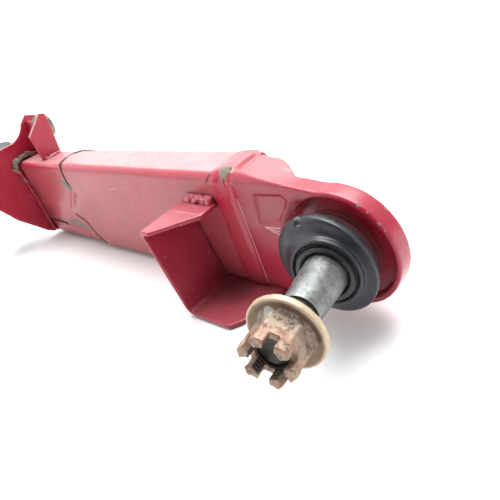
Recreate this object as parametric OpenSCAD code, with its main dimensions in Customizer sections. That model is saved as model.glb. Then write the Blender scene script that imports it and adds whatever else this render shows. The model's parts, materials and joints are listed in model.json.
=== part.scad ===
// Suspension control arm: a welded box-section beam with a rubber-bushed pivot at one end
// and a ball joint with its dust boot, taper stud and slotted flange nut at the other.
// The origin is the centre of the pivot bore. +Z is the pivot axis, +X runs along the beam
// to the ball joint, and the ball stud points towards -Y.

/* [Arm] */
// Distance from the pivot axis to the ball joint, along the beam
reach = 364; // [350:1:380]
// How far the beam's centre plane stands behind the pivot axis
beam_y = 25; // [22:0.5:28]
// How far the beam's centre line lies below the middle of the pivot bush
beam_drop = 29; // [27:0.5:31]

/* [Beam] */
// Height of the box section
beam_h = 76; // [72:1:80]
// Width of the box section, in the direction of the stud
beam_w = 32; // [30:1:34]
// Sheet thickness of the box section
wall = 3; // [2:0.5:3.5]
// Outer corner radius of the box section
beam_r = 6; // [5:0.5:7]
// Radial step from the beam's surface down to the stub's
lap_step = 1.4; // [1:0.1:1.6]

/* [Knuckle] */
// Outer radius of the ball joint eye
eye_r = 32; // [31:0.5:33]
// Depth of the eye's side wall, over both sheets
eye_depth = 11; // [10.5:0.5:12]
// Width of the raised rim round the eye
rim_w = 3; // [2.5:0.5:3.5]
// Depth of the recess inside the rim
recess = 5.5; // [5:0.5:6]

/* [Ball joint] */
// Ball radius
ball_r = 12.5; // [12:0.25:12.5]
// Distance from the eye's front face back to the ball centre
ball_back = 8; // [7.5:0.25:8.5]
// Lean of the stud away from the pivot, about the pivot's direction
stud_tilt = 12; // [0:1:14]
// Lift of the stud's end, square to that lean
stud_lift = 4; // [0:1:5]
// Radius of the taper at its big end
taper_big_r = 10.7; // [10:0.1:10.8]
// Radius of the taper at its small end
taper_small_r = 8.9; // [8.6:0.1:9.2]
// Outer radius of the dust boot
boot_r = 26.5; // [25.5:0.5:26.5]

/* [Nut] */
// Nominal thread diameter of the stud and nut
thread_d = 14; // [14:1:14]
// Width across the flats of the nut
nut_af = 22; // [21:1:24]
// Diameter of the nut's flange
nut_flange_d = 35; // [30:1:36]
// Turn of the nut on the stud, in degrees
nut_turn = 37; // [0:1:60]

/* [Pivot bush] */
// Outer radius of the pivot tube
tube_r = 26; // [25:0.5:27]
// Length of the pivot tube
tube_len = 42; // [40:1:44]
// Radius of the bolt hole through the pivot sleeve
pivot_bore_r = 6.1; // [5.1:0.1:7.1]

/* [Side bracket] */
// Depth of the side bracket, out from the beam's front face
bracket_depth = 36.5; // [30:0.5:38]
// Sheet thickness of the side bracket
bracket_t = 2.5; // [2:0.5:3]

/* [Ear] */
// Radius of the bolt hole through the link sleeve
link_bore_r = 6.1; // [5.1:0.1:6.6]
// Outer radius of the link sleeve
link_sleeve_r = 10; // [9:0.5:10]

/* [Hidden] */

$fn = 96;
cut = 1;                      // how far a cutter runs past the face it opens
front = -beam_w / 2;          // front face of the beam, seen from its centre plane
half_h = beam_h / 2;
ball_y = front + ball_back;   // ball centre, from the beam's centre plane

plate_t = 3.5;                // thickness of the pivot plate and its webs
plate_x = 24;                 // back face of the pivot plate
stub_x = plate_x + plate_t;   // the stub starts on the plate's front face
step_x = 92;                  // the stub steps down into the beam here
stub_end = 132;               // far end of the stub, inside the beam
stub_wall = 2.5;
beam_end = 300;               // the beam meets the knuckle here
collar_x = [289, 305];        // span of the collar over that joint
collar_t = 1.2;
tongue_x = 96;                // tip of the tongue in the beam's top and bottom walls
beam_start = 110;             // the beam's front wall starts here
rear_start = 112;             // and its rear wall here

fit_gap = 0.05;               // radial clearance of every running fit
seam_gap = 0.1;               // clearance of a sheet tucked inside another

// Distances along the stud, from the ball centre
neck_r = 8;
flare_start = 15;
taper_start = 26;
taper_end = 55.5;
relief_r = 7.6;
thread_start = 62;
stud_end = 79.5;
boot_base_z = 18;
housing_r = 17.5;
seat_r = 14.5;
cap_r = 15.8;
boot_ball_r = 32;
lip_r = 17.2;
nut_back = 66.5;
flange_t = 3;
nut_top = 86;
slot_floor = 80.5;
nut_slot_w = 4.5;

tube_bore_r = tube_r - 4;
shell_t = 1.5;
sleeve_r = 10;
rubber_flange_r = 23.5;
rubber_flange_t = 2.5;
sleeve_len = tube_len + 8;

link_at = [55, 59];           // X and Z of the link sleeve's axis
link_y = [10, 18.5];
ear_front_x = 69;
ear_t = 2.5;

// ---- frames ----

// Beam frame to row frame
module in_arm() translate([0, beam_y, -beam_drop]) children();

// Extrudes an outline drawn in Y and Z between two values of X
module along_x(x0, x1) translate([x0, 0, 0]) rotate([90, 0, 90]) linear_extrude(x1 - x0) children();

// Extrudes an outline drawn in X and Z between two values of Y
module along_y(y0, y1) translate([0, y1, 0]) rotate([90, 0, 0]) linear_extrude(y1 - y0) children();

// Extrudes an outline drawn in X and Y between two values of Z
module along_z(z0, z1) translate([0, 0, z0]) linear_extrude(z1 - z0) children();

// Ball joint frame: the ball centre, with +Z out of the eye
module at_ball() in_arm() translate([reach, ball_y, 0]) rotate([90, 0, 0]) children();

// Stud frame: the ball centre, with +Z along the stud
module at_stud()
    in_arm() translate([reach, ball_y, 0]) rotate([0, 0, stud_tilt]) rotate([90 - stud_lift, 0, 0]) children();

// Ring about Z between two heights
module ring(outer, inner, z0, z1)
    translate([0, 0, z0]) difference() {
        cylinder(r = outer, h = z1 - z0);
        translate([0, 0, -cut]) cylinder(r = inner, h = z1 - z0 + 2 * cut);
    }

// ---- outlines ----

function arc(cx, cy, r, from, to, steps) =
    [for (i = [0:steps]) let (a = from + (to - from) * i / steps) [cx + r * cos(a), cy + r * sin(a)]];

// Rounded rectangle, w wide and h high, centred
function rounded_box(w, h, r) = concat(
    arc(w / 2 - r, h / 2 - r, r, 0, 90, 8), arc(r - w / 2, h / 2 - r, r, 90, 180, 8),
    arc(r - w / 2, r - h / 2, r, 180, 270, 8), arc(w / 2 - r, r - h / 2, r, 270, 360, 8));

// Section of the beam, grown outwards by d
module section(d) polygon(rounded_box(beam_w + 2 * d, beam_h + 2 * d, max(beam_r + d, 1)));

// Side view of the knuckle, in X and Z, drawn in by d: its long edges run into the eye
module knuckle_outline(d, x0) {
    r = eye_r - d;
    z = half_h - d;
    shoulder_x = reach - 52;
    lean = atan2(z - r, reach - shoulder_x);
    polygon(concat(
        [[x0, -z], [shoulder_x, -z]],
        arc(reach, 0, r, -90 - lean, 90 + lean, 48),
        [[shoulder_x, z], [x0, z]]));
}

// ---- beam and its joints ----

module beam_tube() color([0.78, 0.2, 0.28]) in_arm()
    intersection() {
        difference() {
            along_x(tongue_x, beam_end) section(0);
            along_x(tongue_x - cut, beam_end + cut) section(-wall);
        }
        along_z(-beam_h, beam_h) polygon([
            [beam_start, -beam_w], [beam_start, front + wall + 0.5], [tongue_x + 6, -7], [tongue_x, 1],
            [tongue_x, 6], [tongue_x + 5, 12.5], [rear_start, 12.9], [rear_start, beam_w],
            [beam_end, beam_w], [beam_end, -beam_w]]);
    }

module splice_collar() color([0.8, 0.24, 0.32]) in_arm()
    difference() {
        along_x(collar_x[0], collar_x[1]) section(collar_t);
        along_x(collar_x[0] - cut, collar_x[1] + cut) section(0);
    }

// Plug weld on the collar's upper front corner
module plug_weld() color([0.5, 0.52, 0.47]) in_arm()
    difference() {
        translate([collar_x[0] + 10, -9.5, half_h - 3]) cylinder(r1 = 5.5, r2 = 3.2, h = 5);
        along_x(collar_x[0] - cut, collar_x[1] + cut) section(collar_t);
    }

module splice_weld() color([0.52, 0.5, 0.42]) in_arm() {
    bead = stub_wall + lap_step - 1;
    bead_h = beam_h - 2 * beam_r - 8;
    translate([step_x, front + 0.4, -bead_h / 2]) cube([beam_start - step_x, bead - 0.4, bead_h]);
    translate([step_x, -front - bead, -bead_h / 2]) cube([rear_start - step_x, bead - 0.4, bead_h]);
}

// One half of the stub: a channel that steps down to slip inside the beam
module stub_channel(y0, y1) {
    tuck = wall + seam_gap;
    intersection() {
        difference() {
            union() {
                along_x(stub_x, step_x) section(-lap_step);
                along_x(step_x - cut, stub_end) section(-tuck);
            }
            along_x(stub_x - cut, step_x - stub_wall) section(-lap_step - stub_wall);
            along_x(step_x - stub_wall - cut, stub_end + cut) section(-tuck - stub_wall);
        }
        translate([0, y0, -beam_h]) cube([stub_end + cut, y1 - y0, 2 * beam_h]);
    }
}

module stub_front() color([0.75, 0.24, 0.3]) in_arm() stub_channel(front, 0);

module stub_rear() color([0.75, 0.24, 0.3]) in_arm() stub_channel(0, -front);

// ---- knuckle ----

module knuckle_front() color([0.78, 0.22, 0.3]) {
    floor_y = front + recess;
    back_y = front + eye_depth - wall;
    inner_r = eye_r - rim_w;
    in_arm() difference() {
        intersection() {
            along_y(front, back_y) knuckle_outline(0, beam_end);
            along_x(beam_end, reach + eye_r + cut) section(0);
        }
        // recess for the boot, open to the front
        translate([reach, floor_y, 0]) rotate([90, 0, 0]) cylinder(r = inner_r, h = recess + cut);
        // hollow behind the front sheet, up to the wall round the recess
        difference() {
            along_y(front + wall, back_y + cut) knuckle_outline(wall, beam_end - cut);
            translate([reach, back_y + 2 * cut, 0]) rotate([90, 0, 0]) cylinder(r = eye_r, h = eye_depth + 2 * cut);
        }
        // seat of the joint housing
        translate([reach, 0, 0]) rotate([90, 0, 0]) cylinder(r = housing_r, h = beam_w);
    }
}

// Top view of the knuckle's rear shell: it steps in towards the thin eye
module rear_profile(d) {
    y0 = front + eye_depth - wall - d;
    y1 = front + eye_depth - d;
    polygon([[beam_end - d, y0], [beam_end - d, -front - d], [beam_end + 4, -front - d],
        [beam_end + 6, 12 - d], [beam_end + 14, 8 - d], [beam_end + 24, 8 - d], [beam_end + 31, 4 - d],
        [beam_end + 42, y1], [reach + eye_r + cut, y1], [reach + eye_r + cut, y0]]);
}

module knuckle_rear() color([0.76, 0.2, 0.28]) in_arm()
    difference() {
        intersection() {
            along_y(front + eye_depth - wall, beam_w) knuckle_outline(0, beam_end);
            along_z(-beam_h, beam_h) rear_profile(0);
            along_x(beam_end, reach + eye_r + cut) section(0);
        }
        intersection() {
            along_y(front + eye_depth - wall - cut, beam_w) knuckle_outline(wall, beam_end - cut);
            along_z(-beam_h, beam_h) rear_profile(wall);
        }
        translate([reach, beam_w, 0]) rotate([90, 0, 0]) cylinder(r = housing_r, h = 2 * beam_w);
    }

// ---- pivot end ----

// The plate the stub is welded to, in Y and Z: a tongue to the pivot tube and an ear above
module pivot_plate_outline()
    polygon(concat(
        [[-50, 10], [-40, -8], [-21, -31], [-16, -35], [17, -35], [21, -31], [21, 38], [24.5, 66]],
        [[15, 70]], arc(-12, 76, 23, -30, -78, 8), [[-50, 52.5]]));

module pivot_plate() color([0.66, 0.14, 0.2]) difference() {
    in_arm() along_x(plate_x, stub_x) pivot_plate_outline();
    cylinder(r = tube_r, h = tube_len, center = true);
}

// Two webs that carry the tube from the plate
module pivot_web() color([0.66, 0.14, 0.2])
    for (z = [-13, 13]) difference() {
        translate([0, 0, z - plate_t / 2]) linear_extrude(plate_t)
            polygon([[plate_x, -25], [plate_x, 34], [14, 34], [-4, 26], [-4, -25], [10, -25]]);
        cylinder(r = tube_r, h = tube_len, center = true);
    }

module pivot_weld() color([0.47, 0.41, 0.35]) in_arm()
    difference() {
        along_x(stub_x, stub_x + 4) section(collar_t);
        along_x(stub_x - cut, stub_x + 4 + cut) section(-lap_step);
        // the bead stops short of the ear, and at the lower rear corner
        translate([0, 7, 30]) cube([beam_h, beam_w, beam_h]);
        translate([0, 4, -beam_h]) cube([beam_h, beam_w, beam_h - 20]);
    }

module pivot_tube() color([0.66, 0.14, 0.2]) ring(tube_r, tube_bore_r, -tube_len / 2, tube_len / 2);

// Fillets between the tube and the plate's back face
module tube_weld() color([0.47, 0.41, 0.35])
    difference() {
        for (side = [-1, 1]) translate([0, 0, -9]) linear_extrude(18)
            polygon([[plate_x, side * 9], [plate_x, side * 15.5], [plate_x - 5, side * 15.5]]);
        cylinder(r = tube_r, h = tube_len, center = true);
    }

module bush_shell() color([0.35, 0.35, 0.36]) ring(tube_bore_r, tube_bore_r - shell_t, -tube_len / 2, tube_len / 2);

module bush_rubber() color([0.1, 0.1, 0.11])
    rotate_extrude() polygon([
        [sleeve_r + fit_gap, -tube_len / 2 - rubber_flange_t], [rubber_flange_r, -tube_len / 2 - rubber_flange_t],
        [rubber_flange_r, -tube_len / 2], [tube_bore_r - shell_t, -tube_len / 2],
        [tube_bore_r - shell_t, tube_len / 2], [rubber_flange_r, tube_len / 2],
        [rubber_flange_r, tube_len / 2 + rubber_flange_t], [sleeve_r + fit_gap, tube_len / 2 + rubber_flange_t]]);

module pivot_sleeve() color([0.6, 0.6, 0.6]) ring(sleeve_r, pivot_bore_r, -sleeve_len / 2, sleeve_len / 2);

// ---- ear ----

// Folded ear: a leaning flange that faces the ball joint, and a side wall back to the plate
module ear_flange() color([0.85, 0.3, 0.4]) in_arm()
    difference() {
        union() {
            along_x(ear_front_x - ear_t, ear_front_x)
                polygon([[-7, half_h - lap_step], [11, half_h - lap_step], [14.6, 65.6], [13.8, 69.8], [8.9, 72],
                    [-7.5, 58.8]]);
            along_x(stub_x, ear_front_x)
                polygon([[8.5, half_h - lap_step], [11, half_h - lap_step], [14.4, 65], [11.9, 65]]);
        }
        translate([link_at[0], link_y[1] + cut, link_at[1]]) rotate([90, 0, 0])
            cylinder(r = link_sleeve_r, h = link_y[1] - link_y[0] + 2 * cut);
    }

module ear_weld() color([0.55, 0.2, 0.22]) in_arm()
    translate([ear_front_x, -5, half_h - lap_step]) rotate([-90, 0, 0])
        linear_extrude(15) polygon([[0, 0], [2.5, 0], [0, -2.5]]);

module link_sleeve() color([0.55, 0.53, 0.48]) in_arm()
    translate([link_at[0], link_y[1], link_at[1]]) rotate([90, 0, 0])
        ring(link_sleeve_r, link_bore_r, 0, link_y[1] - link_y[0]);

// ---- side bracket ----

// Section of the folded bracket, in X and Z: top flange, leaning web, bottom flange
function bracket_path(d) = concat(
    [[289, 20.5 - d], [259 + d, 20.5 - d]],
    arc(276.5, -30, 8.5 - d, 189, 270, 8),
    [[318, -38.5 + d]]);

module side_bracket() color([0.55, 0.12, 0.18]) {
    y1 = front;
    y0 = front - bracket_depth;
    outer = bracket_path(0);
    inner = bracket_path(bracket_t);
    in_arm() difference() {
        along_y(y0, y1) polygon(concat(outer, [for (i = [len(inner) - 1:-1:0]) inner[i]]));
        // slanted free edges of the top and bottom flanges
        along_z(0, 25) polygon([[290, y1 - 13], [266, y0 - cut], [298, y0 - cut], [298, y1 - 13]]);
        along_z(-45, -20) polygon([[318, y1], [310, y1 - 30], [304, y0 - cut], [328, y0 - cut], [328, y1]]);
        // drain slot beside the beam
        along_z(-45, -30) polygon([[294, y1 + cut], [294, y1 - 2.5], [305, y1 - 2.5], [305, y1 + cut]]);
    }
}

module bracket_weld() color([0.8, 0.35, 0.42]) in_arm()
    translate([264, front, 20.5]) rotate([90, 0, 90])
        linear_extrude(23) polygon([[0, 0], [-4, 0], [-3, 2.6], [0, 4.6]]);

// ---- ball joint ----

module joint_housing() color([0.7, 0.2, 0.27]) at_ball()
    rotate_extrude() polygon([
        [seat_r, -14], [seat_r, 5.5], [12.8, 5.5], [15.2, 9], [housing_r, 9], [housing_r, 4.5], [21.5, 4.5],
        [21.5, ball_back - recess], [housing_r, ball_back - recess], [housing_r, -17.5], [cap_r, -17.5],
        [cap_r, -14]]);

module bearing_seat() color([0.9, 0.88, 0.8]) at_ball()
    difference() {
        translate([0, 0, -11]) cylinder(r = seat_r, h = 15);
        sphere(r = ball_r + fit_gap);
        translate([0, 0, -12]) cylinder(r = 7.5, h = 12);
    }

module pressure_plate() color([0.5, 0.5, 0.5]) at_ball()
    difference() {
        translate([0, 0, -12.4]) cylinder(r = seat_r - 0.2, h = 1.4);
        sphere(r = ball_r + fit_gap);
    }

module spring_washer() color([0.4, 0.4, 0.42]) at_ball()
    rotate_extrude() polygon([[9, -13.4], [seat_r - 0.2, -14], [seat_r - 0.2, -13.2], [9, -12.4]]);

module end_cap() color([0.3, 0.3, 0.31]) at_ball() translate([0, 0, -17]) cylinder(r = cap_r, h = 3);

module ball_stud() color([0.62, 0.63, 0.62]) at_stud()
    union() {
        sphere(r = ball_r);
        rotate_extrude() polygon([
            [0, 5], [neck_r, 5], [neck_r, flare_start], [taper_big_r - 0.6, taper_start - 3],
            [taper_big_r, taper_start], [taper_small_r, taper_end], [relief_r, taper_end],
            [relief_r, thread_start], [thread_d / 2 - fit_gap, thread_start],
            [thread_d / 2 - fit_gap, stud_end - 1], [thread_d / 2 - 1, stud_end], [0, stud_end]]);
    }

// Part of a ball round the ball centre, from z up in the joint's frame to s in the stud's
module boot_cap(r, z, s)
    intersection() {
        at_ball() translate([0, 0, z]) cylinder(r = r + cut, h = r);
        at_stud() translate([0, 0, s - 2 * r]) cylinder(r = 2 * r, h = 2 * r);
        at_ball() sphere(r = r);
    }

// The boot's outside is part of a ball round the ball centre, so it keeps its shape as the stud leans
module dust_boot() color([0.13, 0.14, 0.16])
    difference() {
        union() {
            at_ball() rotate_extrude() polygon([[0, 4.7], [20, 4.7], [20, 7.5], [boot_r - 4, 11],
                [boot_r - 1, 14.5], [boot_r, boot_base_z], [0, boot_base_z]]);
            boot_cap(boot_ball_r, boot_base_z, 27);
            at_stud() translate([0, 0, 23]) cylinder(r = lip_r, h = 5.4);
        }
        at_ball() rotate_extrude() polygon([[0, 4], [housing_r + 0.4, 4], [housing_r + 0.4, 9.4],
            [boot_r - 6, 11.6], [boot_r - 3, 15], [boot_r - 2, boot_base_z], [0, boot_base_z]]);
        boot_cap(boot_ball_r - 2, boot_base_z - 0.5, 25);
        at_stud() translate([0, 0, 21]) cylinder(r = 10.9, h = 12);
        at_stud() ring(14.3, 12, 27, 31);
    }

module boot_base_ring() color([0.2, 0.2, 0.21]) at_ball() ring(21.3, 20.1, 4.9, 6.3);

module boot_lip_ring() color([0.2, 0.2, 0.21]) at_stud() ring(14, 12.3, 27.1, 28.6);

// ---- nut ----

module flange_nut() color([0.78, 0.68, 0.55]) at_stud() rotate([0, 0, nut_turn])
    difference() {
        union() {
            // flange with a dished face
            rotate_extrude() polygon([[0, nut_back], [nut_flange_d / 2, nut_back],
                [nut_flange_d / 2, nut_back + flange_t], [nut_flange_d / 2 - 1.6, nut_back + flange_t + 0.4],
                [nut_af / 2, nut_back + flange_t - 0.8], [0, nut_back + flange_t - 0.8]]);
            translate([0, 0, nut_back + flange_t - 1.4])
                cylinder(r = nut_af / 2 / cos(30), h = nut_top - nut_back - flange_t + 1.4, $fn = 6);
        }
        translate([0, 0, nut_back - cut]) cylinder(r = thread_d / 2, h = nut_top - nut_back + 2 * cut);
        for (a = [30:60:150]) rotate([0, 0, a])
            translate([-nut_af, -nut_slot_w / 2, slot_floor]) cube([2 * nut_af, nut_slot_w, nut_top]);
    }

beam_tube();
splice_collar();
plug_weld();
knuckle_front();
knuckle_rear();
stub_front();
stub_rear();
splice_weld();
pivot_plate();
pivot_web();
pivot_weld();
pivot_tube();
tube_weld();
bush_shell();
bush_rubber();
pivot_sleeve();
ear_flange();
ear_weld();
link_sleeve();
side_bracket();
bracket_weld();
joint_housing();
bearing_seat();
pressure_plate();
spring_washer();
end_cap();
ball_stud();
dust_boot();
boot_base_ring();
boot_lip_ring();
flange_nut();
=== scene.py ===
"""Looks of a welded suspension arm with a ball joint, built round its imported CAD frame.

Lengths are in metres. Places come from the frame's boxes and joints. Helpers come first, then
materials, then one section for each part of the object, and the camera, floor and lights.
"""

import json
import math

import bmesh
import bpy
from mathutils import Matrix, Quaternion, Vector, noise


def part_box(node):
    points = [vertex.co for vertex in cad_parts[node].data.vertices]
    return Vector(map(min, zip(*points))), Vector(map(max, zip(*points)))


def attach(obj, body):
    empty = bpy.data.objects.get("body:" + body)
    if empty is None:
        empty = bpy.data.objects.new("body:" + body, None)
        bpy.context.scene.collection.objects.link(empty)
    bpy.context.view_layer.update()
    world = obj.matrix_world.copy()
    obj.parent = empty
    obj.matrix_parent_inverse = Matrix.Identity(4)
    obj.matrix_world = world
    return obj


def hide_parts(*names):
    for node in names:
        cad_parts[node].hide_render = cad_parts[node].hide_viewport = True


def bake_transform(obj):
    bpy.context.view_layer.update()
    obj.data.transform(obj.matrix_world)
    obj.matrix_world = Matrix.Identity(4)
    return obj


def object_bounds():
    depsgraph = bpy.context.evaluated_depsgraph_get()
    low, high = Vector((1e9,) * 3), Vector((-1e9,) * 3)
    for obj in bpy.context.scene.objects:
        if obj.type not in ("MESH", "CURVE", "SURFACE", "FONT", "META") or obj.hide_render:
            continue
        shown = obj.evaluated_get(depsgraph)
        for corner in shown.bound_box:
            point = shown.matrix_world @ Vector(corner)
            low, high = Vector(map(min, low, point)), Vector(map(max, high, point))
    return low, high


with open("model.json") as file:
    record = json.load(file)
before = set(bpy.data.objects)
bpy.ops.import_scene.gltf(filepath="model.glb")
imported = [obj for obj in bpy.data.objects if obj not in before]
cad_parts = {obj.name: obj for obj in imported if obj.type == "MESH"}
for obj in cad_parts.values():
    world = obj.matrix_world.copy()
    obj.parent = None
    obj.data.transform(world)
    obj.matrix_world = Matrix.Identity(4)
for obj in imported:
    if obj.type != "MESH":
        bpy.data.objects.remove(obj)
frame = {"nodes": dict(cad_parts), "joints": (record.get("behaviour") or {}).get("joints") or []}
cad_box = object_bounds()
NODES = frame["nodes"]
JOINTS = {j["name"]: j for j in frame["joints"]}
MM = 0.001

# ---------------------------------------------------------------- places from the frame

BALL = Vector(JOINTS["ball_swing"]["pos_m"])
STUD_AXIS = Vector(JOINTS["stud_spin"]["axis"]).normalized()
BEAM_LOW, BEAM_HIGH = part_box("beam_tube")
COLLAR_LOW, COLLAR_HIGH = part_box("splice_collar")
STUB_LOW, STUB_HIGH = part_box("stub_front")
FRONT_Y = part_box("knuckle_front")[0].y
MID_Y = (BEAM_LOW.y + BEAM_HIGH.y) / 2
MID_Z = (BEAM_LOW.z + BEAM_HIGH.z) / 2
FLOOR_Z = cad_box[0].z
RIM_R = cad_box[1].x - BALL.x


def arm(x, y, z):
    """A point in mm: X from the pivot, Y and Z from the beam's centre line."""
    return Vector((x * MM, MID_Y + y * MM, MID_Z + z * MM))


def on_rim(angle, y):
    """A point on the eye's outer rim, at an angle from X and so many mm behind its front face."""
    turn = math.radians(angle)
    radius = RIM_R - 0.3 * MM
    return Vector((BALL.x + radius * math.cos(turn), FRONT_Y + y * MM, BALL.z + radius * math.sin(turn)))


def between(value, stations):
    """Straight-line value between stations of (place, value)."""
    if value <= stations[0][0]:
        return stations[0][1]
    for (a, va), (b, vb) in zip(stations, stations[1:]):
        if value <= b:
            return va + (vb - va) * (value - a) / (b - a)
    return stations[-1][1]


def along_stud(s):
    """The point s metres from the ball centre, out along the stud."""
    return BALL + STUD_AXIS * s


def stud_matrix():
    """Stud frame: +Z along the stud, +X level, and the ball centre as origin."""
    x = Vector((0, 0, 1)).cross(STUD_AXIS).normalized()
    y = STUD_AXIS.cross(x)
    rotation = Matrix((x, y, STUD_AXIS)).transposed().to_4x4()
    return Matrix.Translation(BALL) @ rotation


def socket_matrix():
    """Ball joint frame: +Z straight out of the eye."""
    return Matrix.Translation(BALL) @ Matrix.Rotation(math.radians(90), 4, "X")


# ---------------------------------------------------------------- small mesh tools

def smoothstep(low, high, value):
    t = max(0.0, min(1.0, (value - low) / (high - low)))
    return t * t * (3 - 2 * t)


def bump(value, centre, half_width):
    """1 at the centre, 0 beyond half_width."""
    return 1 - smoothstep(0, half_width, abs(value - centre))


def new_object(name, bm):
    mesh = bpy.data.meshes.new(name)
    bm.to_mesh(mesh)
    bm.free()
    obj = bpy.data.objects.new(name, mesh)
    bpy.context.scene.collection.objects.link(obj)
    return obj


def shade_smooth(obj, angle=None):
    """Smooth shading, with edges sharper than the angle kept sharp."""
    for polygon in obj.data.polygons:
        polygon.use_smooth = True
    if angle is None:
        return
    bm = bmesh.new()
    bm.from_mesh(obj.data)
    for edge in bm.edges:
        if len(edge.link_faces) == 2:
            edge.smooth = edge.calc_face_angle(0) < math.radians(angle)
    bm.to_mesh(obj.data)
    bm.free()


def apply_modifiers(obj):
    """Writes the evaluated mesh back and drops the modifiers."""
    graph = bpy.context.evaluated_depsgraph_get()
    mesh = bpy.data.meshes.new_from_object(obj.evaluated_get(graph))
    obj.modifiers.clear()
    old, obj.data = obj.data, mesh
    bpy.data.meshes.remove(old)


def circle(matrix, radius, height, steps):
    """Points round the Z of a matrix, at a radius and a height in mm."""
    turns = [2 * math.pi * i / steps for i in range(steps)]
    return [matrix @ (Vector((radius * math.cos(a), radius * math.sin(a), height)) * MM) for a in turns]


def ring_grid(bm, rings, loop=False):
    """Quads between rings of points, capped at both ends or looped from the last to the first."""
    made = [[bm.verts.new(p) for p in ring] for ring in rings]
    for a, b in zip(made, made[1:] + made[:1] if loop else made[1:]):
        for i in range(len(a)):
            j = (i + 1) % len(a)
            bm.faces.new((a[i], a[j], b[j], b[i]))
    if not loop:
        bm.faces.new(list(reversed(made[0])))
        bm.faces.new(made[-1])
    bmesh.ops.recalc_face_normals(bm, faces=bm.faces)


def lathe(name, profile, place, steps, loop=True):
    """Turns a profile of (radius, height) in mm about the Z of place, a matrix or one for each height."""
    bm = bmesh.new()
    rings = []
    for radius, height in profile:
        matrix = place(height) if callable(place) else place
        rings.append(circle(matrix, radius, height, steps))
    ring_grid(bm, rings, loop)
    return new_object(name, bm)


def rounded(points, cuts=2):
    """Cuts the corners of an open profile so many times, and keeps its two ends."""
    for _ in range(cuts):
        cut = [points[0]]
        for a, b in zip(points, points[1:]):
            cut.append((a[0] * 0.75 + b[0] * 0.25, a[1] * 0.75 + b[1] * 0.25))
            cut.append((a[0] * 0.25 + b[0] * 0.75, a[1] * 0.25 + b[1] * 0.75))
        cut.append(points[-1])
        points = cut
    return points


def soften(node, name, voxel, passes, wobble=0.0, wobble_size=6 * MM, shape=None, extra=()):
    """A copy of a CAD node's solid as one even mesh with softened edges, which shape may then move.

    extra holds more solids that are joined to it first. wobble is how far the surface wanders.
    """
    bm = bmesh.new()
    bm.from_mesh(NODES[node].data)
    for other in extra:
        bm.from_mesh(other.data)
        bpy.data.objects.remove(other)
    bmesh.ops.remove_doubles(bm, verts=bm.verts, dist=1e-6)
    obj = new_object(name, bm)
    remesh = obj.modifiers.new("even", "REMESH")
    remesh.mode = "VOXEL"
    remesh.voxel_size = voxel
    apply_modifiers(obj)
    bm = bmesh.new()
    bm.from_mesh(obj.data)
    for _ in range(passes):
        bmesh.ops.smooth_vert(bm, verts=bm.verts, factor=0.5, use_axis_x=True, use_axis_y=True,
                              use_axis_z=True)
    bm.normal_update()
    moves = []
    for v in bm.verts:
        move = Vector()
        if wobble:
            move += v.normal * wobble * noise.noise(v.co / wobble_size)
        if shape:
            move += shape(v.co, v.normal)
        moves.append(move)
    for v, move in zip(bm.verts, moves):
        v.co += move
    bm.to_mesh(obj.data)
    bm.free()
    shade_smooth(obj)
    return obj


def finish_piece(obj, body, slot, material, *nodes):
    """Puts a made piece on its body, in its finish, in place of the CAD nodes."""
    obj.data.materials.clear()
    obj.data.materials.append(material)
    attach(obj, body)
    if nodes:
        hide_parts(*nodes)


def dress(node, material):
    """Gives a CAD node that stays its material and slightly rounded edges."""
    obj = NODES[node]
    obj.data.materials.clear()
    obj.data.materials.append(material)
    for polygon in obj.data.polygons:
        polygon.material_index = 0
    edge = obj.modifiers.new("edge", "BEVEL")
    edge.width = 0.4 * MM
    edge.segments = 2
    edge.limit_method = "ANGLE"
    edge.angle_limit = math.radians(40)
    edge.harden_normals = True


# ---------------------------------------------------------------- shader tools

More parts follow.
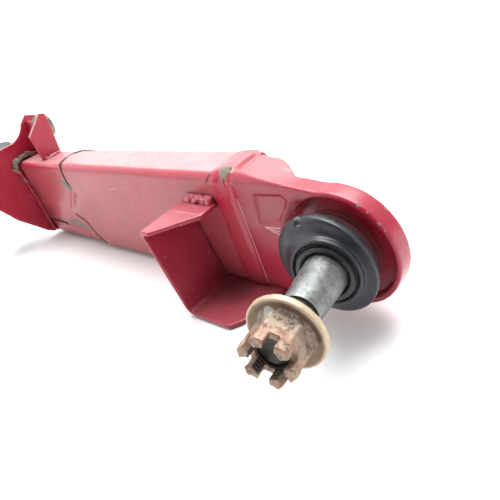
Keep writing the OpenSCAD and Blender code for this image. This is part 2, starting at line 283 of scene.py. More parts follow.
class Shader:
    """Builds one node material, its coordinates being the object's own, in metres."""

    def __init__(self, name):
        self.material = bpy.data.materials.new(name)
        self.material.use_nodes = True
        self.tree = self.material.node_tree
        self.tree.nodes.clear()
        output = self.add("OutputMaterial")
        self.surface = self.add("BsdfPrincipled")
        self.tree.links.new(self.surface.outputs[0], output.inputs[0])
        self.place = self.add("TexCoord").outputs["Object"]

    def add(self, kind, inputs=None, **settings):
        """A new node of a kind, with its inputs by name or number and its own settings."""
        node = self.tree.nodes.new("ShaderNode" + kind)
        for key, value in settings.items():
            setattr(node, key, value)
        for key, value in (inputs or {}).items():
            self.put(node, key, value)
        return node

    def put(self, node, key, value):
        """Sets an input to a value, or links it to a socket."""
        if isinstance(value, bpy.types.NodeSocket):
            self.tree.links.new(value, node.inputs[key])
        else:
            node.inputs[key].default_value = value

    def noise(self, size, detail=4.0, roughness=0.55, stretch=None):
        """Noise from 0 to 1 with features about size metres across, longer where stretch is under 1."""
        vector = self.place
        if stretch:
            vector = self.add("Mapping", {"Vector": vector, "Scale": stretch}).outputs[0]
        inputs = {"Vector": vector, "Scale": 1 / size, "Detail": detail, "Roughness": roughness}
        return self.add("TexNoise", inputs).outputs["Fac"]

    def step(self, value, low, high, to_low=0.0, to_high=1.0):
        """Clamped smooth ramp of a value."""
        inputs = {0: value, 1: low, 2: high, 3: to_low, 4: to_high}
        return self.add("MapRange", inputs, interpolation_type="SMOOTHSTEP").outputs[0]

    def math(self, operation, a, b=0.0, clamp=False):
        node = self.add("Math", {0: a, 1: b}, operation=operation, use_clamp=clamp)
        return node.outputs[0]

    def vector_math(self, operation, a, b, output="Value"):
        return self.add("VectorMath", {0: a, 1: b}, operation=operation).outputs[output]

    def fold(self, operation, values):
        result = values[0]
        for value in values[1:]:
            result = self.math(operation, result, value)
        return result

    def times(self, *values):
        return self.fold("MULTIPLY", values)

    def most(self, *values):
        return self.fold("MAXIMUM", values)

    def less(self, value, share=1.0):
        """1 less a share of the value."""
        return self.math("SUBTRACT", 1.0, self.times(value, share) if share != 1.0 else value)

    def mix(self, factor, a, b):
        """Colour a where factor is 0, b where it is 1."""
        node = self.add("Mix", data_type="RGBA")
        for key, value in ((0, factor), (6, a), (7, b)):
            self.put(node, key, (*value, 1) if isinstance(value, tuple) else value)
        return node.outputs[2]

    def ragged(self, distance, wander, size):
        """A distance that wanders up to so far either way, in features of about this size."""
        shift = self.math("MULTIPLY_ADD", self.noise(size, 3), wander * 2)
        shift.node.inputs[2].default_value = -wander
        return self.math("ADD", distance, shift)

    def near(self, centre, radius, soft, wander=0.5):
        """1 within about radius of a point, with a soft and ragged edge."""
        gap = self.vector_math("DISTANCE", self.place, tuple(centre))
        gap = self.ragged(gap, wander * radius, 3 * MM)
        return self.step(gap, radius * (1 + soft / 2), radius * (1 - soft / 2))

    def line(self, start, end, radius, wander, size):
        """1 within about radius of the straight line between two points, with ragged edges."""
        run = Vector(end) - Vector(start)
        rel = self.vector_math("SUBTRACT", self.place, tuple(start), "Vector")
        share = self.vector_math("DOT_PRODUCT", rel, tuple(run / run.length_squared))
        share = self.math("ADD", share, 0.0, clamp=True)
        foot = self.add("VectorMath", {0: tuple(run), "Scale": share}, operation="SCALE").outputs[0]
        gap = self.vector_math("DISTANCE", rel, foot)
        gap = self.ragged(gap, wander * radius, size)
        return self.step(gap, radius * 1.25, radius * 0.75)

    def facing(self, axis):
        """How far the surface faces along an axis, X, Y or Z, from -1 to 1."""
        normal = self.add("NewGeometry").outputs["Normal"]
        return self.add("SeparateXYZ", {0: normal}).outputs[axis]

    def edges(self, radius):
        """1 on edges sharper than the radius, 0 on flat ground."""
        soft = self.add("Bevel", {"Radius": radius}, samples=4).outputs[0]
        normal = self.add("NewGeometry").outputs["Normal"]
        return self.step(self.vector_math("DOT_PRODUCT", soft, normal), 0.97, 0.75)

    def corners(self, distance):
        """1 deep in a crevice, 0 in the open."""
        open_sky = self.add("AmbientOcclusion", {"Distance": distance}, samples=6).outputs["AO"]
        return self.step(open_sky, 0.85, 0.25)

    def finish(self, colour, roughness, height=None, height_scale=0.1 * MM, metallic=0.0, coat=0.0,
               specular=0.5):
        """Links up the surface, with a height of its bumps in metres, and returns the material."""
        self.put(self.surface, "Base Color", colour)
        self.put(self.surface, "Roughness", roughness)
        self.put(self.surface, "Metallic", metallic)
        self.put(self.surface, "Coat Weight", coat)
        self.surface.inputs["Coat Roughness"].default_value = 0.2
        self.surface.inputs["Specular IOR Level"].default_value = specular
        if height is not None:
            node = self.add("Bump", {"Height": height, "Distance": height_scale, "Strength": 1.0})
            self.tree.links.new(node.outputs[0], self.surface.inputs["Normal"])
        return self.material


# ---------------------------------------------------------------- materials

RED = (0.42, 0.010, 0.040)
DARK_RED = (0.34, 0.008, 0.033)
# A darker copy of the red for the bracket: painted shade, for the shade inside the bracket
SHADED_BRACKET_RED = (0.33, 0.010, 0.036)
SIDE_DUST = (0.36, 0.145, 0.138)
# Dust paler on upward faces: partly dust, partly painted light for the brightly lit tops
TOP_DUST_AND_LIGHT = (0.60, 0.34, 0.34)
SPECK = (0.15, 0.055, 0.055)
WRINKLE = (0.085, 0.035, 0.032)
SCRATCH = (0.74, 0.42, 0.43)
# Dark mud: dirt, and also painted shade in corners and in open gaps
MUD_AND_SHADE = (0.05, 0.025, 0.02)
GROUND_STEEL = ((0.10, 0.085, 0.065), (0.31, 0.29, 0.23))


def red_paint(name, dust, grime_and_shade, chips, base=RED, spots=(), bare=(), dark_lines=(), pale_lines=(), shade=(),
              dusty=(), wrinkles=0.0, coat=0.4):
    """Satin red paint: dusty, scratched, chipped on its edges, with dark mud in its corners that also
    paints their shade.

    Patches are (point, radius in mm): spots of brown mud, bare for ground metal, shade for painted
    shade, patches with less dust where the paint shows darker, and dusty for more dust. Lines are
    (start, end, radius in mm): dark ones for crack lines and for painted shade in open gaps, and pale
    ones for scratch marks and for painted highlights along edges.
    wrinkles is how strongly thin dark wrinkles show.
    """
    s = Shader(name)
    tone = s.noise(30 * MM, 4)
    paint = s.mix(tone, tuple(c * 0.85 for c in base), tuple(c * 1.12 for c in base))
    # A film of dust, thicker on top, where it is also paler as painted light, and rubbed off the rounded
    # corners
    film = s.step(s.noise(16 * MM, 7, 0.65), 0.25, 0.8)
    dust_and_painted_light = s.math("ADD", s.times(film, dust * 0.5), dust * 0.5)
    upward = s.step(s.facing("Z"), 0.6, 0.98)
    dust_and_painted_light = s.math("ADD", dust_and_painted_light, s.times(upward, dust * 0.8))
    for point, radius in dusty:
        dust_and_painted_light = s.most(dust_and_painted_light, s.times(s.near(point, radius * MM, 1.2, 0.3), 0.4))
    # Painted shade: less dust in these patches, so the paint shows darker
    for point, radius in shade:
        dust_and_painted_light = s.times(dust_and_painted_light, s.less(s.near(point, radius * MM, 0.6, 0.3), 0.85))
    sideways = s.math("ABSOLUTE", s.facing("Y"))
    rubbed = s.times(s.step(sideways, 0.12, 0.4), s.step(sideways, 0.985, 0.9), 0.8)
    dust_and_painted_light = s.times(dust_and_painted_light, s.less(rubbed))
    colour = s.mix(dust_and_painted_light, paint, s.mix(upward, SIDE_DUST, TOP_DUST_AND_LIGHT))
    specks = s.step(s.noise(1.5 * MM, 3, 0.7), 0.62, 0.72)
    specks = s.times(specks, s.step(s.noise(20 * MM, 2), 0.42, 0.6))
    colour = s.mix(s.times(specks, min(1.0, dust * 1.1)), colour, SPECK)
    if wrinkles:
        ridge = s.math("ABSOLUTE", s.math("SUBTRACT", s.noise(5 * MM, 4, 0.6), 0.5))
        wrinkle = s.times(s.step(ridge, 0.022, 0.006), s.step(s.noise(13 * MM, 3), 0.5, 0.6))
        wrinkle = s.times(wrinkle, s.less(upward, 0.7), wrinkles)
        colour = s.mix(wrinkle, colour, WRINKLE)
    # Long scratches along the arm
    scratches = s.step(s.noise(5 * MM, 2, 0.5, stretch=(0.12, 1.4, 1.4)), 0.71, 0.75)
    fine = s.step(s.noise(1.1 * MM, 1, 0.5, stretch=(0.05, 1.0, 1.6)), 0.77, 0.81)
    pale = s.times(s.most(scratches, fine), 0.3)
    for start, end, radius in pale_lines:
        pale = s.most(pale, s.times(s.line(start, end, radius * MM, 0.3, 2 * MM), 0.75))
    colour = s.mix(pale, colour, SCRATCH)
    # Dark mud in the corners, which is dirt and painted shade, in spots, and along dark lines,
    # some of them painted shade in open gaps
    dirt_and_shade = s.times(s.corners(5 * MM), s.step(s.noise(6 * MM, 5), 0.35, 0.68), grime_and_shade)
    for point, radius in spots:
        dirt_and_shade = s.most(dirt_and_shade, s.times(s.near(point, radius * MM, 1.4), 0.5))
    for start, end, radius in dark_lines:
        dirt_and_shade = s.most(dirt_and_shade, s.line(start, end, radius * MM, 0.2, 3 * MM))
    colour = s.mix(dirt_and_shade, colour, MUD_AND_SHADE)
    # Metal on chipped edges and where it was ground
    metal = s.times(s.edges(0.6 * MM), s.step(s.noise(2.4 * MM, 4, 0.7), 0.60, 0.68), chips)
    for point, radius in bare:
        metal = s.most(metal, s.near(point, radius * MM, 0.4, 0.8))
    colour = s.mix(metal, colour, s.mix(s.noise(1.5 * MM, 4, 0.7), *GROUND_STEEL))
    rough = s.math("ADD", s.times(dust_and_painted_light, 0.45), 0.27)
    rough = s.most(rough, s.times(metal, 0.6), s.times(dirt_and_shade, 0.85))
    # Orange peel, sunk where the paint is gone or covered
    peel = s.math("ADD", s.times(s.noise(2.2 * MM, 3), 0.25), s.times(s.noise(11 * MM, 3), 0.75))
    height = s.math("SUBTRACT", peel, s.times(s.most(metal, dirt_and_shade, s.times(scratches, 0.4)), 0.5))
    clean = s.math("SUBTRACT", 1.0, s.most(metal, dirt_and_shade), clamp=True)
    return s.finish(colour, rough, height, 0.14 * MM, coat=s.times(clean, coat), specular=0.3)


def bare_weld(name, painted=0.75):
    """Weld bead and ground steel, dull grey-brown with some paint left on it."""
    s = Shader(name)
    tone = s.noise(2.5 * MM, 5, 0.65)
    colour = s.mix(tone, (0.13, 0.10, 0.075), (0.34, 0.31, 0.25))
    rust = s.step(s.noise(5 * MM, 4), 0.5, 0.7)
    colour = s.mix(s.times(rust, 0.5), colour, (0.20, 0.09, 0.045))
    paint = s.step(s.noise(7 * MM, 5, 0.6), 0.56, 0.62)
    colour = s.mix(s.times(paint, painted), colour, (0.42, 0.05, 0.07))
    return s.finish(colour, s.step(tone, 0.2, 0.8, 0.45, 0.8), tone, 0.5 * MM, metallic=0.25)


def boot_rubber():
    """Aged black rubber, greyish where it is rubbed, with dust in its grooves and red round its foot."""
    s = Shader("boot_rubber")
    tone = s.noise(8 * MM, 5)
    colour = s.mix(tone, (0.007, 0.009, 0.014), (0.022, 0.026, 0.033))
    worn = s.times(s.edges(1.2 * MM), s.step(s.noise(5 * MM, 4), 0.35, 0.7))
    colour = s.mix(s.times(worn, 0.35), colour, (0.13, 0.14, 0.15))
    dust = s.times(s.corners(4 * MM), s.step(s.noise(4 * MM, 5), 0.4, 0.7))
    colour = s.mix(s.times(dust, 0.45), colour, (0.16, 0.14, 0.115))
    scuffs = s.step(s.noise(1.6 * MM, 2, 0.5, stretch=(0.25, 1, 1)), 0.70, 0.78)
    colour = s.mix(s.times(scuffs, 0.3), colour, (0.2, 0.2, 0.21))
    # Red round the foot, made paler as painted light, for the shaded gap by the recess wall
    out = s.add("SeparateXYZ", {0: s.place}).outputs["Y"]
    foot = s.step(out, BALL.y - 15 * MM, BALL.y - 10 * MM)
    colour = s.mix(s.times(foot, 0.8), colour, (0.2, 0.045, 0.05))
    height = s.math("ADD", s.times(s.noise(0.9 * MM, 3), 0.4), s.noise(4 * MM, 3))
    return s.finish(colour, s.step(tone, 0.3, 0.7, 0.3, 0.5), height, 0.1 * MM)


def stud_steel():
    """Pale, pitted steel of the taper, with dark streaks where it has been rubbed."""
    s = Shader("stud_steel")
    tone = s.noise(7 * MM, 6, 0.65)
    colour = s.mix(s.step(tone, 0.25, 0.75), (0.075, 0.077, 0.08), (0.24, 0.25, 0.245))
    mottle = s.step(s.noise(1.6 * MM, 5, 0.75), 0.35, 0.7)
    colour = s.mix(s.times(mottle, 0.45), colour, (0.31, 0.32, 0.31))
    pits = s.step(s.noise(1.2 * MM, 3, 0.65), 0.62, 0.70)
    pits = s.times(pits, s.step(s.noise(8 * MM, 3), 0.35, 0.55))
    colour = s.mix(s.times(pits, 0.85), colour, (0.05, 0.05, 0.048))
    height = s.math("SUBTRACT", s.times(mottle, 0.4), pits)
    return s.finish(colour, s.step(mottle, 0.0, 1.0, 0.34, 0.6), height, 0.08 * MM, metallic=0.75)


def thread_steel():
    """Dark thread: its steel darkened as painted shade, for the shade it lies in between the nut's
    prongs.
    """
    s = Shader("thread_steel")
    tone = s.noise(2 * MM, 4)
    colour = s.mix(tone, (0.012, 0.010, 0.008), (0.045, 0.040, 0.030))
    rub = s.times(s.edges(0.3 * MM), 0.2)
    colour = s.mix(rub, colour, (0.24, 0.21, 0.18))
    return s.finish(colour, 0.45, tone, 0.05 * MM, metallic=0.4)


NUT_BACK = 66.5 * MM  # from the ball's centre to the nut's back face


def nut_zinc():
    """Tarnished zinc: pale rim, browner face, crust on the body's foot, coppery prongs, dark bore."""
    s = Shader("nut_zinc")
    tone = s.noise(5 * MM, 5, 0.6)
    # off is the distance from the stud's axis and rise is the height over the nut's back
    back = tuple(along_stud(NUT_BACK))
    gap = s.vector_math("SUBTRACT", s.place, back, "Vector")
    rise = s.vector_math("DOT_PRODUCT", gap, tuple(STUD_AXIS))
    span = s.add("VectorMath", {0: gap}, operation="LENGTH").outputs["Value"]
    off = s.math("SUBTRACT", s.times(span, span), s.times(rise, rise))
    off = s.math("SQRT", s.math("MAXIMUM", off, 0.0))
    colour = s.mix(tone, (0.12, 0.072, 0.045), (0.26, 0.175, 0.115))
    rim = s.step(off, 16.0 * MM, 17.0 * MM)
    colour = s.mix(s.times(rim, 0.8), colour, (0.56, 0.44, 0.31))
    body = s.step(rise, 3.2 * MM, 5 * MM)
    plating = s.mix(s.noise(2.6 * MM, 5, 0.65), (0.16, 0.115, 0.08), (0.56, 0.48, 0.37))
    colour = s.mix(s.times(body, 0.6), colour, plating)
    crust = s.times(s.step(off, 13.8 * MM, 12.8 * MM), s.step(rise, 7 * MM, 4 * MM))
    crust = s.times(crust, s.step(s.noise(3.2 * MM, 6, 0.72), 0.46, 0.6), 0.7)
    crust = s.most(crust, s.near(arm(375.3, -77.2, 16.5), 2.6 * MM, 0.3))
    salt = s.mix(s.noise(1.2 * MM, 3), (0.20, 0.18, 0.15), (0.66, 0.67, 0.64))
    colour = s.mix(s.times(crust, 0.75), colour, salt)
    stain = s.times(s.step(s.noise(3.4 * MM, 6, 0.7), 0.50, 0.60), body)
    colour = s.mix(s.times(stain, 0.8), colour, (0.085, 0.042, 0.036))
    copper = s.times(s.step(rise, 8 * MM, 14 * MM), s.step(s.noise(3 * MM, 4), 0.35, 0.6))
    colour = s.mix(s.times(copper, 0.6), colour, (0.27, 0.13, 0.08))
    # Darker in the corners and in the bore: dirt, and painted shade
    grime_and_shade = s.times(s.corners(2.5 * MM), s.step(s.noise(1.6 * MM, 4, 0.7), 0.4, 0.62))
    bore = s.step(off, 8.4 * MM, 7.4 * MM)
    colour = s.mix(s.most(s.times(grime_and_shade, 0.85), s.times(bore, 0.9)), colour, (0.035, 0.027, 0.026))
    rub = s.times(s.edges(0.4 * MM), s.less(bore), 0.4)
    colour = s.mix(rub, colour, (0.66, 0.55, 0.42))
    height = s.math("ADD", s.times(s.noise(1.2 * MM, 4), 0.6), s.times(crust, 1.2))
    return s.finish(colour, s.step(tone, 0.3, 0.7, 0.38, 0.6), height, 0.14 * MM, metallic=0.45)


def dark_steel(name, tint=(0.05, 0.05, 0.052), metallic=0.6, rust=0.4):
    """Mottled steel of a tint, with brown rust and paler, rubbed edges."""
    s = Shader(name)
    tone = s.noise(4 * MM, 5)
    colour = s.mix(tone, tuple(c * 0.6 for c in tint), tuple(c * 1.5 for c in tint))
    brown = s.times(s.step(s.noise(7 * MM, 5, 0.65), 0.5, 0.65), rust)
    colour = s.mix(brown, colour, (0.17, 0.075, 0.035))
    rub = s.times(s.edges(0.5 * MM), 0.5)
    colour = s.mix(rub, colour, tuple(min(1, c * 2.5 + 0.12) for c in tint))
    return s.finish(colour, s.step(tone, 0.2, 0.8, 0.35, 0.65), tone, 0.12 * MM, metallic=metallic)


def moulded(name, tint, roughness=0.5):
    """Rubber or plastic of a tint, with dust in its corners."""
    s = Shader(name)
    tone = s.noise(6 * MM, 4)
    colour = s.mix(tone, tuple(c * 0.85 for c in tint), tuple(min(1, c * 1.1) for c in tint))
    dust = s.times(s.corners(5 * MM), s.noise(3 * MM, 4))
    colour = s.mix(s.times(dust, 0.5), colour, (0.2, 0.17, 0.14))
    return s.finish(colour, roughness, s.noise(1.2 * MM, 3), 0.06 * MM)


# ---------------------------------------------------------------- beam, stub and collar

CORNER_R = 6 * MM
# Steps along a rounded corner, a side and the top of the section
CORNER_STEPS, SIDE_STEPS, TOP_STEPS = 8, 26, 12


def section_points(grow):
    """Points round the box section as (y, z) from its centre, moved outwards by grow."""
    half_w = (BEAM_HIGH.y - BEAM_LOW.y) / 2 + grow
    half_h = (BEAM_HIGH.z - BEAM_LOW.z) / 2 + grow
    radius = CORNER_R + grow
    turns = ((-1, 1, 180, TOP_STEPS), (1, 1, 90, SIDE_STEPS),
             (1, -1, 0, TOP_STEPS), (-1, -1, -90, SIDE_STEPS))
    centres = [(sy * (half_w - radius), sz * (half_h - radius)) for sy, sz, _, _ in turns]
    points = []
    for k, (_, _, start, side) in enumerate(turns):
        cy, cz = centres[k]
        for i in range(CORNER_STEPS + 1):
            a = math.radians(start - 90 * i / CORNER_STEPS)
            points.append((cy + radius * math.cos(a), cz + radius * math.sin(a)))
        ny, nz = centres[(k + 1) % 4]
        y, z = points[-1]
        points += [(y + (ny - cy) * i / side, z + (nz - cz) * i / side) for i in range(1, side)]
    return points


def box_sheet(bm, grow, start, end, step):
    """Adds an open sheet along the box section between the X of start(y, z) and of end(y, z)."""
    points = section_points(grow)
    columns = max(2, int((end(0, 0) - start(0, 0)) / step))
    rows = []
    for y, z in points:
        x0, x1 = start(y, z), end(y, z)
        xs = [x0 + (x1 - x0) * c / columns for c in range(columns + 1)]
        rows.append([bm.verts.new((x, MID_Y + y, MID_Z + z)) for x in xs])
    for a, b in zip(rows, rows[1:] + rows[:1]):
        for c in range(columns):
            bm.faces.new((a[c], a[c + 1], b[c + 1], b[c]))


def box_tube(name, sheets, wall, dent, side=None):
    """Sheets of (grow, start, end, step) along the box section, moved by dent and given a thickness.

    side keeps only one half of them, -1 for the front and 1 for the rear.
    """
    bm = bmesh.new()
    for sheet in sheets:
        box_sheet(bm, *sheet)
    bm.normal_update()
    moves = [dent(v.co, v.normal) for v in bm.verts]
    for v, move in zip(bm.verts, moves):
        v.co += move
    if side:
        geom = bm.verts[:] + bm.edges[:] + bm.faces[:]
        bmesh.ops.bisect_plane(bm, geom=geom, plane_co=(0, MID_Y, 0), plane_no=(0, side, 0),
                               clear_inner=True)
    obj = new_object(name, bm)
    solid = obj.modifiers.new("wall", "SOLIDIFY")
    solid.thickness = wall
    solid.offset = -1
    apply_modifiers(obj)
    shade_smooth(obj, 40)
    return obj


# X of the beam's ragged inner end, in mm, by Y over its top and by Z down its front
TOP_EDGE = ((-16, 112), (-7.6, 105), (-2, 101), (3, 100.5), (9, 102), (12.6, 105), (15, 113), (16, 126))
FRONT_EDGE = ((-33, 121), (-28, 114.5), (-21, 110.5), (-15, 107.5), (-9.5, 96), (-5, 90), (5, 99),
              (18, 113), (25, 111), (33, 112))
BOTTOM_EDGE = ((-16, 121), (16, 126))
REAR_EDGE = 126
FLAT_Z = 32.5  # the section's top and bottom begin this far from its middle


def beam_start_x(y, z):
    """Where the beam begins at a point of its section, in metres."""
    y, z = y / MM, z / MM
    if z > FLAT_Z:
        x = between(y, TOP_EDGE)
    elif z < -FLAT_Z:
        x = between(y, BOTTOM_EDGE)
    else:
        x = between(z, FRONT_EDGE) if y < 0 else REAR_EDGE
    return (x + 0.5 * noise.noise(Vector((y, z, 0)) * 0.25)) * MM


def painted_gap_shade(shift, radius):
    """Painted shade: dark lines along the open gap at the beam's end, where no weld fills it, shifted in
    X.
    """
    line_z, line_y = 36.6, -14.6
    fill_low, fill_high = -7, 15
    top = [arm(x + shift, y, line_z) for y, x in TOP_EDGE]
    upper = [arm(x + shift, line_y, z) for z, x in FRONT_EDGE if z > fill_high]
    lower = [arm(x + shift, line_y, z) for z, x in FRONT_EDGE if z < fill_low]
    upper.append(top[0])
    return [(a, b, radius) for run in (top, upper, lower) for a, b in zip(run, run[1:])]


def beam_dents(co, normal):
    """Slight waves in the pressed sheet. Where the weld filled the joint, its end is dressed flush."""
    y, z = co.y - MID_Y, co.z - MID_Z
    wave = noise.noise(Vector((co.x * 22, co.z * 30, co.y * 10)))
    small = noise.noise(co * 90)
    move = normal * (wave * 0.35 * abs(normal.y) + small * 0.1 - 0.2) * MM
    if y < -12 * MM:
        filled = smoothstep(-7 * MM, -2 * MM, z) * (1 - smoothstep(13 * MM, 17 * MM, z))
        near_end = 1 - smoothstep(1 * MM, 16 * MM, co.x - beam_start_x(y, z))
        move.y += 1.25 * MM * filled * near_end
    return move


def make_beam(paint):
    """The long box section with its ragged end."""
    sheet = (0, beam_start_x, lambda y, z: BEAM_HIGH.x, 2 * MM)
    obj = box_tube("beam_shell", [sheet], 2.6 * MM, beam_dents)
    finish_piece(obj, "arm", "red_paint", paint, "beam_tube")


def joint_dents(co, normal):
    """The joint over the beam's end: a groove across the top and a flattened upper front corner."""
    x, y, z = co.x / MM, (co.y - MID_Y) / MM, (co.z - MID_Z) / MM
    groove_x, groove_depth = 306.5, 2.0
    corner_x, corner_depth = 299, 1.4
    move = Vector()
    if z > 30:
        length = smoothstep(-9, -4, y) * (1 - smoothstep(9, 13, y))
        move.z -= groove_depth * MM * bump(x, groove_x, 5) * length
    corner = bump(x, corner_x, 9) * bump(y + z, 17, 15)
    if y < 0 < z:
        move -= normal * corner_depth * MM * corner
    return move


def make_collar(paint):
    """The lap over the joint: thin wandering edges, and its right one sunk into the knuckle."""
    grow = COLLAR_HIGH.y - BEAM_HIGH.y

    def left(y, z):
        return COLLAR_LOW.x + (0.5 + 0.5 * noise.noise(Vector((y, z, 1)) * 160)) * MM

    def right(y, z):
        return COLLAR_HIGH.x + (1.2 + 0.4 * noise.noise(Vector((y, z, 5)) * 160)) * MM

    def dents(co, normal):
        thin_left = 1 - smoothstep(0, 7 * MM, co.x - COLLAR_LOW.x)
        thin_right = 1 - smoothstep(0, 6 * MM, COLLAR_HIGH.x + 1.4 * MM - co.x)
        flat = max(0.75 * thin_left, 1.2 * thin_right, 0.35 * max(0.0, -normal.y))
        return joint_dents(co, normal) - normal * grow * flat

    obj = box_tube("splice_collar_sheet", [(grow, left, right, 0.8 * MM)], grow, dents)
    finish_piece(obj, "arm", "red_paint", paint, "splice_collar")


def make_stub(paint):
    """Two channels that end a narrow gap before the beam, each with a tongue that slips inside it."""
    step_down = STUB_LOW.y - BEAM_LOW.y
    open_gap, tongue_tuck, tongue_down = 2.0 * MM, 4 * MM, 3.1 * MM
    skirt_x = 106  # the low front edge dips in before this X

    def left(y, z):
        return STUB_LOW.x

    def gap(y, z):
        return beam_start_x(y, z) - open_gap

    def tuck(y, z):
        return gap(y, z) - tongue_tuck

    def right(y, z):
        return STUB_HIGH.x

    def dents(co, normal):
        x, z = co.x / MM, (co.z - MID_Z) / MM
        move = normal * 0.5 * MM * (noise.noise(co * 38) - 0.4) * abs(normal.y)
        if co.y < MID_Y - 10 * MM and x < skirt_x:
            groove = bump(z, -21 - 0.03 * (x - 24), 1.6) * (1 - smoothstep(60, 68, x))
            lower = (1 - smoothstep(-25, -21.5, z)) * (1 - smoothstep(96, skirt_x, x))
            move.y += (1.0 * groove + 0.9 * lower) * MM
        return move

    sheets = [(-step_down, left, gap, 2 * MM), (-tongue_down, tuck, right, 3 * MM)]
    for side, node in ((-1, "stub_front"), (1, "stub_rear")):
        obj = box_tube(node + "_channel", sheets, 2.4 * MM, dents, side)
        finish_piece(obj, "arm", "red_paint", paint, node)


def make_splice_weld(weld):
    """A bead sunk in the gap between stub and beam, down both sides."""
    bm = bmesh.new()
    rows, sides, reach = 60, 12, 28
    in_gap, sunk = 0.9 * MM, 2.4 * MM
    for side in (-1, 1):
        rings = []
        for i in range(rows + 1):
            z = (-reach + 2 * reach * i / rows) * MM
            y = side * (BEAM_HIGH.y - BEAM_LOW.y) / 2
            x = beam_start_x(y, z) - in_gap
            size = (1.5 + 0.3 * noise.noise(Vector((z, side, 0)) * 400)) * MM
            centre = Vector((x, MID_Y + y - side * sunk, MID_Z + z))
            turns = [2 * math.pi * k / sides for k in range(sides)]
            rings.append([centre + Vector((size * math.cos(a), size * math.sin(a), 0)) for a in turns])
        ring_grid(bm, rings)
    obj = new_object("splice_weld_bead", bm)
    shade_smooth(obj)
    finish_piece(obj, "arm", "bare_weld", weld, "splice_weld")


# ---------------------------------------------------------------- knuckle

# Corners of the pressed pocket in X and Z, in mm
POCKET = ((319.5, 27.5), (338.0, 28.6), (341.4, 25.0), (337.8, 20.4), (333.5, 13.2), (316.8, 9.6))
POCKET_DEPTH = 1.3
RECESS_DEPTH = 5.5


def inside_outline(x, z, outline):
    """Distance from a point to the edge of a convex outline given clockwise, positive inside."""
    least = 1e9
    for (ax, az), (bx, bz) in zip(outline, outline[1:] + outline[:1]):
        length = math.hypot(bx - ax, bz - az)
        least = min(least, ((bz - az) * (x - ax) - (bx - ax) * (z - az)) / length)
    return least


def knuckle_shape(co, normal):
    """Pressed detail: the pocket, the joint's dents, and a recess that fades out on the pivot's side."""
    x, z = (co.x - BALL.x) / MM, (co.z - BALL.z) / MM
    depth = (co.y - FRONT_Y) / MM
    r = math.hypot(x, z)
    move = joint_dents(co, normal)
    side = smoothstep(0.30, 0.85, -x / max(r, 1e-6))
    front_skin = normal.y < 0.3
    if depth < 6.2 and 22 < r < 42 and side > 0 and front_skin:
        ramp = RECESS_DEPTH * (1 - smoothstep(24, 35, r))
        move.y += (ramp - depth) * side * MM
    if depth < 1.0 and front_skin:
        inside = inside_outline(co.x / MM, z, POCKET)
        move.y += POCKET_DEPTH * MM * smoothstep(-0.9, 1.3, inside)
    return move


def make_knuckle(paint):
    """Both shells as one welded and painted piece."""
    bm = bmesh.new()
    bm.from_mesh(NODES["knuckle_rear"].data)
    rear = new_object("knuckle_rear_copy", bm)
    obj = soften("knuckle_front", "knuckle_shells", 0.7 * MM, 9, 0.14 * MM, 12 * MM, knuckle_shape,
                 [rear])
    finish_piece(obj, "arm", "red_paint", paint, "knuckle_front", "knuckle_rear")


# ---------------------------------------------------------------- ball joint

# Boot profile in mm, (radius, height): base groove, shoulder, two ridges and lip, then the inside
BOOT_OUTSIDE = [
    (19.0, 4.9), (20.0, 5.6), (20.2, 7.2), (21.0, 9.0), (22.8, 11.2), (24.8, 13.6), (26.1, 15.8),
    (26.7, 17.8), (26.6, 19.4), (25.8, 20.7), (24.2, 21.5), (22.2, 22.2), (20.2, 23.1), (18.7, 24.4),
    (17.9, 26.0),
    (17.4, 27.4), (16.6, 28.1), (15.8, 27.8), (15.2, 26.6), (14.6, 25.9), (14.1, 26.6), (13.7, 28.0),
    (13.0, 28.9), (12.1, 28.9), (11.4, 28.2), (11.0, 27.0)]
BOOT_INSIDE = [(11.0, 25.4), (13.2, 24.6), (18.0, 21.6), (22.6, 19.8), (24.6, 18.6), (24.4, 16.6),
               (23.0, 14.2), (20.8, 11.8), (18.6, 10.0), (17.9, 8.6), (17.9, 4.9)]
# Where the boot's shoulder is nicked, in degrees round the ball joint, and how deep
NICKS = (107.0, 190.0)
NICK_DEPTH = 3.4


def leaning(height):
    """Joint frame at the boot's base, stud frame at its lip, and turned part of the way in between."""
    lean = stud_matrix().to_quaternion()
    straight = socket_matrix().to_quaternion()
    t = smoothstep(17.5, 28.0, height)
    return Matrix.Translation(BALL) @ straight.slerp(lean, t).to_matrix().to_4x4()


def make_boot(material):
    """The dust boot, which bends between the arm and its lip's ring."""
    profile = rounded(BOOT_OUTSIDE) + rounded(BOOT_INSIDE, 1)
    boot = lathe("dust_boot_rubber", profile, leaning, 192)
    bm = bmesh.new()
    bm.from_mesh(boot.data)
    matrix = socket_matrix().inverted()
    for v in bm.verts:
        local = matrix @ v.co
        a = math.degrees(math.atan2(local.y, local.x))
        r = math.hypot(local.x, local.y)
        if r > 23 * MM and local.z > 14 * MM:
            for nick in NICKS:
                gap = abs((a - nick + 180) % 360 - 180)
                depth = NICK_DEPTH * MM * bump(gap, 0, 4.5) * smoothstep(23 * MM, 25 * MM, r)
                v.co += (BALL - v.co).normalized() * depth
        v.co += v.normal * 0.15 * MM * noise.noise(v.co * 110)
    bm.to_mesh(boot.data)
    bm.free()
    shade_smooth(boot)
    boot.data.materials.append(material)
    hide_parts("dust_boot")
    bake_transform(boot)


# The stud in mm: ball radius, taper as (radius, height) at both ends, and its thread
BALL_R = 12.5
TAPER_BIG = (10.66, 27.0)
TAPER_SMALL = (8.92, 55.3)
TAPER_STEPS = 12
PALE_END = 55.6
THREAD_PITCH = 1.5
THREAD_CREST = 6.95
THREAD_ROOT = 6.05
THREAD_START = 62.0
THREAD_END = 79.4
THREAD_RING = 0.19  # height between two rings of points


